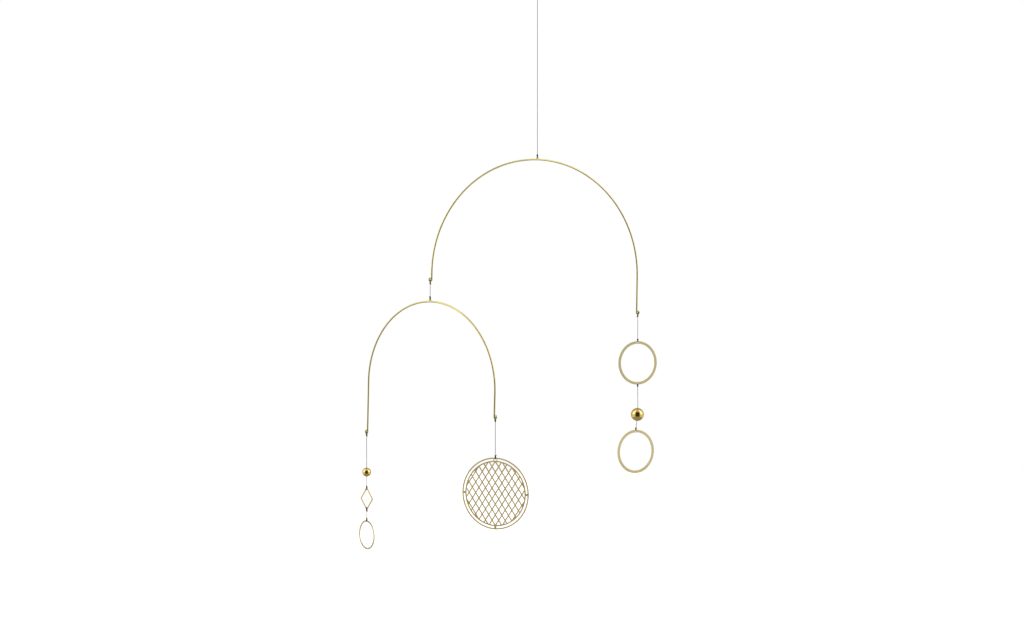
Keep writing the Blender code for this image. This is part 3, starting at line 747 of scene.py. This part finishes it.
# %% Two rings around the lattice
TAB = 0.0028
WINDOW = 0.0035
POST = 0.0009
DISC_BROKEN_EDGE = 0.00007
RIM_SLACK = 0.0002


def grow_rim(shape, radius, new_radius):
    """Grow a row of faces from the rim of a flat round shape, and hand them back."""
    rim = [edge for edge in shape.edges
           if edge.is_boundary and min(corner.co.length for corner in edge.verts) > radius - RIM_SLACK]
    made = bmesh.ops.extrude_edge_only(shape, edges=rim)
    for corner in [part for part in made["geom"] if isinstance(part, bmesh.types.BMVert)]:
        corner.co *= new_radius / corner.co.length
    return [part for part in made["geom"] if isinstance(part, bmesh.types.BMFace)]


def cut_rows(shape, faces, plane_co, plane_no):
    """Cut faces along a plane, and hand back all of them."""
    edges = {edge for face in faces for edge in face.edges}
    corners = {corner for face in faces for corner in face.verts}
    made = bmesh.ops.bisect_plane(shape, geom=faces + list(edges) + list(corners), dist=ON_PLANE,
                                  plane_co=plane_co, plane_no=plane_no)
    return [part for part in made["geom"] if isinstance(part, bmesh.types.BMFace)]


gap_inside = INNER_RING + DISC_BAND / 2
gap_outside = DISC - DISC_BAND
grow_rim(lattice, trim_radius - CLOSE_CORNERS, gap_inside)
gap = grow_rim(lattice, gap_inside, gap_outside)
grow_rim(lattice, gap_outside, DISC)
for offset in (TAB / 2, -TAB / 2):
    gap = cut_rows(lattice, gap, Vector((0.0, offset, 0.0)), Vector((0.0, 1.0, 0.0)))
for offset in (TAB / 2, WINDOW / 2, WINDOW / 2 + POST, -TAB / 2, -WINDOW / 2, -WINDOW / 2 - POST):
    gap = cut_rows(lattice, gap, Vector((offset, 0.0, 0.0)), Vector((1.0, 0.0, 0.0)))


def is_kept(face):
    """Whether a face of the gap belongs to a tab or to a post of the hanging window."""
    middle = face.calc_center_median()
    if abs(middle.y) < TAB / 2 or (middle.y < 0 and abs(middle.x) < TAB / 2):
        return True
    return middle.y > 0 and WINDOW / 2 < abs(middle.x) < WINDOW / 2 + POST


bmesh.ops.delete(lattice, geom=[face for face in gap if not is_kept(face)], context="FACES")
thicken(lattice, SHEET)
break_edges(lattice, DISC_BROKEN_EDGE, 1, clamp=False)
stand_up(lattice, disc_middle, DISC_YAW)
lattice_disc = hand_over(lattice, "lattice_disc", FACETED)

# %% [markdown]
# ## The balls
# The balls are solid brass, turned and bored, with a wider room from below where the knot hides. A turned
# piece is a profile spun once around its axis, so the profile runs from the bore's top rim over the ball to
# the room and back up the bore. The rims are rounded, because a polished ball has no sharp edge left.

# %% Turned balls
BORE_CLEARANCE = 0.00035
BORE = THREAD / 2 + BORE_CLEARANCE
KNOT_ROOM = KNOT_WIDTH / 2 + BORE_CLEARANCE
RIM = 0.00018
BALL_ROWS = 60
BALL_STEPS = 96
BALL_SHARP = 40.0


def make_ball(node, radius, middle, tilt):
    """A bored ball, turned from its profile of distances from the bore's axis and heights."""
    shape = bmesh.new()
    top_turn = math.asin((BORE + RIM) / radius)
    bottom_turn = math.pi - math.asin((KNOT_ROOM + RIM) / radius)
    top = radius * math.cos(top_turn)
    bottom = radius * math.cos(bottom_turn)
    profile = [(BORE, top - 1.6 * RIM), (BORE + 0.2 * RIM, top - 0.5 * RIM)]
    for row in range(BALL_ROWS + 1):
        turn = top_turn + (bottom_turn - top_turn) * row / BALL_ROWS
        profile.append((radius * math.sin(turn), radius * math.cos(turn)))
    profile += [(KNOT_ROOM + 0.2 * RIM, bottom + 0.5 * RIM), (KNOT_ROOM, bottom + 1.6 * RIM)]
    profile += [(KNOT_ROOM, KNOT_ROOM_DEPTH - radius), (BORE, KNOT_ROOM_DEPTH - radius)]
    corners = [shape.verts.new((x, 0.0, z)) for x, z in profile]
    edges = [shape.edges.new(pair) for pair in zip(corners, corners[1:] + corners[:1])]
    bmesh.ops.spin(shape, geom=corners + edges, cent=(0.0, 0.0, 0.0), axis=UP, angle=2 * math.pi,
                   steps=BALL_STEPS, use_merge=True)
    place = Matrix.Translation(middle) @ Matrix.Rotation(math.radians(tilt), 4, "Y")
    bmesh.ops.transform(shape, matrix=place, verts=shape.verts)
    return hand_over(shape, node, BALL_SHARP)


large_ball = make_ball("large_ball", LARGE_BALL, large_ball_middle, LARGE_BALL_TILT)
small_ball = make_ball("small_ball", SMALL_BALL, small_ball_middle, 0.0)

# %% [markdown]
# ## Materials
# Brass is a metal, so its colour is the colour of its reflections, and its base colour stays the same all
# round. What tells wire, sheet and polished ball apart is how rough each is. Wire and sheet are polished
# but not mirrors: fine grain in the roughness and a very low bump spread their reflections. A slow noise
# shifts the colour a little, as handled brass darkens unevenly. The balls are buffed to a mirror, with only
# the faintest haze.

# %% Material helpers
EVEN = (1.0, 1.0, 1.0)


def new_material(name):
    """A Principled material, with its node tree and its shader."""
    material = bpy.data.materials.new(name)
    material.use_nodes = True
    tree = material.node_tree
    return material, tree, tree.nodes["Principled BSDF"]


def object_noise(tree, scale, detail, stretch=EVEN, turn=0.0):
    """Noise on object coordinates, stretched along the axes after a turn about the plumb line."""
    coordinates = tree.nodes.new("ShaderNodeTexCoord")
    mapping = tree.nodes.new("ShaderNodeMapping")
    mapping.vector_type = "TEXTURE"
    mapping.inputs["Rotation"].default_value = (0.0, 0.0, turn)
    mapping.inputs["Scale"].default_value = stretch
    noise = tree.nodes.new("ShaderNodeTexNoise")
    noise.inputs["Scale"].default_value = scale
    noise.inputs["Detail"].default_value = detail
    tree.links.new(coordinates.outputs["Object"], mapping.inputs["Vector"])
    tree.links.new(mapping.outputs["Vector"], noise.inputs["Vector"])
    return noise.outputs["Fac"]


def spread(tree, value, low, high, start=0.35, end=0.65):
    """A value mapped from the middle of the noise's range to a range of its own."""
    spreading = tree.nodes.new("ShaderNodeMapRange")
    spreading.inputs["From Min"].default_value = start
    spreading.inputs["From Max"].default_value = end
    spreading.inputs["To Min"].default_value = low
    spreading.inputs["To Max"].default_value = high
    tree.links.new(value, spreading.inputs["Value"])
    return spreading.outputs["Result"]


def blend_colours(tree, value, first, second):
    """A colour between two colours."""
    mix = tree.nodes.new("ShaderNodeMix")
    mix.data_type = "RGBA"
    mix.inputs["A"].default_value = (*first, 1.0)
    mix.inputs["B"].default_value = (*second, 1.0)
    tree.links.new(value, mix.inputs["Factor"])
    return mix.outputs["Result"]


def low_relief(tree, shader, height, strength, distance):
    """A bump made from a value."""
    bump = tree.nodes.new("ShaderNodeBump")
    bump.inputs["Strength"].default_value = strength
    bump.inputs["Distance"].default_value = distance
    tree.links.new(height, bump.inputs["Height"])
    tree.links.new(bump.outputs["Normal"], shader.inputs["Normal"])


print("helpers for noise, spread, colour and relief")

# %% Brass
PATCH_SCALE = 38.0
RELIEF_STRENGTH = 0.06
BRUSHED = (14.0, 1.0, 1.0)
SHEET_TONES = ((0.69, 0.585, 0.295), (0.61, 0.505, 0.23))
DISC_TONES = ((0.76, 0.60, 0.22), (0.68, 0.51, 0.16))
WIRE_TONES = ((0.72, 0.59, 0.185), (0.63, 0.51, 0.135))
BALL_TONES = ((0.90, 0.67, 0.24), (0.84, 0.59, 0.18))


def brass(name, tones, roughness, grain_scale, stretch=EVEN, turn=0.0, relief=0.00001):
    """Brass with a slow shift from a clean to a tarnished tone, and a fine grain between two roughnesses."""
    material, tree, shader = new_material(name)
    shader.inputs["Metallic"].default_value = 1.0
    patches = spread(tree, object_noise(tree, PATCH_SCALE, 3.0), 0.0, 1.0)
    tree.links.new(blend_colours(tree, patches, *tones), shader.inputs["Base Color"])
    grain = object_noise(tree, grain_scale, 4.0, stretch, turn)
    tree.links.new(spread(tree, grain, *roughness), shader.inputs["Roughness"])
    low_relief(tree, shader, grain, RELIEF_STRENGTH, relief)
    print(name, "has a roughness from", roughness[0], "to", roughness[1])
    return material


wire_brass = brass("polished_brass_wire", WIRE_TONES, (0.16, 0.26), 2600.0)
for piece in (large_arch_wire, small_arch_wire):
    piece.data.materials.append(wire_brass)
for piece, yaw, tones in ((upper_ring, UPPER_RING_YAW, SHEET_TONES),
                          (lower_ring, LOWER_RING_YAW, SHEET_TONES),
                          (small_ring, SMALL_RING_YAW, SHEET_TONES),
                          (rhombus, RHOMBUS_YAW, SHEET_TONES),
                          (lattice_disc, DISC_YAW, DISC_TONES)):
    sheet_brass = brass("brushed_brass_" + piece.name, tones, (0.2, 0.32), 3000.0, BRUSHED, math.radians(yaw))
    piece.data.materials.append(sheet_brass)
ball_brass = brass("mirror_brass", BALL_TONES, (0.03, 0.07), 900.0, relief=0.000002)
for piece in (large_ball, small_ball):
    piece.data.materials.append(ball_brass)

# %% [markdown]
# ## Thread finish
# The twine is black polyester with hardly any lustre. Fine noise stretched along the plumb line gives the
# filaments, as a shift in colour and a bump.

# %% Black thread material
BLACK = (0.002, 0.002, 0.0025)
WORN_BLACK = (0.010, 0.010, 0.011)
FIBRE_SCALE = 9000.0
FIBRE_STRETCH = (1.0, 1.0, 6.0)
FIBRE_STRENGTH = 0.3
FIBRE_RELIEF = 0.00003

black_thread, tree, shader = new_material("black_twine")
fibres = object_noise(tree, FIBRE_SCALE, 2.0, FIBRE_STRETCH)
fibre_colour = blend_colours(tree, spread(tree, fibres, 0.0, 1.0), BLACK, WORN_BLACK)
tree.links.new(fibre_colour, shader.inputs["Base Color"])
shader.inputs["Roughness"].default_value = 0.6
shader.inputs["Specular IOR Level"].default_value = 0.12
low_relief(tree, shader, fibres, FIBRE_STRENGTH, FIBRE_RELIEF)
threads = (hanging_thread, link_thread, ring_thread, ball_thread, disc_thread, small_ball_thread,
           short_thread)
for piece in threads:
    piece.data.materials.append(black_thread)
print("thread material on", len(threads), "threads")

# %% [markdown]
# ## Floor and light
# The mobile hangs in a white studio. What it shows in its metal is the studio around it: bright walls,
# windows high up on either side, and the dark place where the camera stands. The world's shader draws that
# studio for reflections, an even white for the camera, and an even light for everything matt. Three soft
# boxes add to that light, and the metal doesn't mirror them. The floor is plain and pale, a room's height
# below the hook.

# %% Floor
FLOOR_BELOW_HOOK = 2.15
FLOOR_RADIUS = 14.0
FLOOR_GREY = (0.93, 0.93, 0.93, 1.0)

floor_shape = bmesh.new()
bmesh.ops.create_circle(floor_shape, cap_ends=True, segments=64, radius=FLOOR_RADIUS,
                        matrix=Matrix.Translation((0.0, 0.0, -FLOOR_BELOW_HOOK)))
floor_mesh = bpy.data.meshes.new("floor")
floor_shape.to_mesh(floor_mesh)
floor_shape.free()
floor = bpy.data.objects.new("floor", floor_mesh)
bpy.context.scene.collection.objects.link(floor)
floor_paint, tree, shader = new_material("pale_floor")
shader.inputs["Base Color"].default_value = FLOOR_GREY
shader.inputs["Roughness"].default_value = 1.0
shader.inputs["Specular IOR Level"].default_value = 0.0
floor_mesh.materials.append(floor_paint)
floor.visible_glossy = False
print("floor at", -FLOOR_BELOW_HOOK)

# %% Studio seen by the metal
world = bpy.data.worlds.new("white_studio")
bpy.context.scene.world = world
world.use_nodes = True
tree = world.node_tree
tree.nodes.clear()


def calculate(operation, first, second=None):
    """A Math node in the world's tree."""
    node = tree.nodes.new("ShaderNodeMath")
    node.operation = operation
    for socket, value in zip(node.inputs, (first, second)):
        if value is None:
            continue
        if isinstance(value, (int, float)):
            socket.default_value = value
        else:
            tree.links.new(value, socket)
    return node.outputs["Value"]


direction = tree.nodes.new("ShaderNodeTexCoord")
split = tree.nodes.new("ShaderNodeSeparateXYZ")
tree.links.new(direction.outputs["Generated"], split.inputs["Vector"])


def between(value, low, high, feather):
    """One where a value lies between two limits, with a soft edge outside each of them."""
    rising = spread(tree, value, 0.0, 1.0, low - feather, low)
    falling = spread(tree, value, 1.0, 0.0, high, high + feather)
    return calculate("MULTIPLY", rising, falling)


SIDE_WALL = 0.84
CAMERA_PLACE_DARK = 0.035
BACK_WALL = 0.45
FLOOR_LIGHT = 0.34
CEILING_LIGHT = 0.5
WINDOW_LIGHT = 1.25
MATT_LIGHT = 1.3
JUST_OVER_ONE = 1.0001

height = split.outputs["Z"]
height_squared = calculate("MULTIPLY", height, height)
level_part = calculate("SQRT", calculate("SUBTRACT", JUST_OVER_ONE, height_squared))
towards_camera = calculate("DIVIDE", calculate("MULTIPLY", split.outputs["Y"], -1.0), level_part)
side_walls = spread(tree, towards_camera, SIDE_WALL, CAMERA_PLACE_DARK, 0.55, 0.90)
back_wall = spread(tree, towards_camera, BACK_WALL, 1.0, -0.95, -0.15)
walls = calculate("MULTIPLY", side_walls, back_wall)
wall_heights = between(height, -0.50, 0.62, 0.12)
floor_or_ceiling = spread(tree, height, FLOOR_LIGHT, CEILING_LIGHT, -0.2, 0.2)
over_walls = calculate("MULTIPLY", calculate("SUBTRACT", walls, floor_or_ceiling), wall_heights)
windows = calculate("MULTIPLY", between(towards_camera, -0.10, 0.56, 0.1), between(height, 0.22, 0.90, 0.22))
window_light = calculate("MULTIPLY", windows, WINDOW_LIGHT)
studio = calculate("ADD", calculate("ADD", floor_or_ceiling, over_walls), window_light)

rays = tree.nodes.new("ShaderNodeLightPath")
seen_by_camera = rays.outputs["Is Camera Ray"]
seen_by_matt = rays.outputs["Is Diffuse Ray"]
matt = calculate("MULTIPLY", seen_by_matt, MATT_LIGHT)
shiny = calculate("MULTIPLY", calculate("SUBTRACT", 1.0, seen_by_matt), studio)
unseen = calculate("MULTIPLY", calculate("SUBTRACT", 1.0, seen_by_camera), calculate("ADD", matt, shiny))
strength = calculate("ADD", seen_by_camera, unseen)
background = tree.nodes.new("ShaderNodeBackground")
background.inputs["Color"].default_value = (1.0, 1.0, 1.0, 1.0)
output = tree.nodes.new("ShaderNodeOutputWorld")
tree.links.new(strength, background.inputs["Strength"])
tree.links.new(background.outputs["Background"], output.inputs["Surface"])
bpy.context.scene.view_settings.view_transform = "Standard"
print("studio world with", len(tree.nodes), "nodes")

# %% Soft boxes
MOBILE_MIDDLE = Vector((0.0, 0.0, -0.5))
SOFT_BOXES = (("left_soft_box", (-1.9, -1.1, 0.7), 0.9, 1.2, 60.0),
              ("right_soft_box", (1.9, -1.0, 0.8), 0.9, 1.2, 60.0),
              ("top_soft_box", (0.0, 0.3, 1.6), 1.6, 1.0, 50.0))


def soft_box(name, place, width, height, power):
    """A rectangular soft light that points at the mobile and isn't mirrored in it."""
    light = bpy.data.lights.new(name, "AREA")
    light.shape = "RECTANGLE"
    light.size = width
    light.size_y = height
    light.energy = power
    lamp = bpy.data.objects.new(name, light)
    lamp.location = place
    lamp.rotation_euler = (MOBILE_MIDDLE - Vector(place)).to_track_quat("-Z", "Y").to_euler()
    lamp.visible_glossy = False
    bpy.context.scene.collection.objects.link(lamp)


for name, place, width, box_height, power in SOFT_BOXES:
    soft_box(name, place, width, box_height, power)
print(len(SOFT_BOXES), "soft boxes")
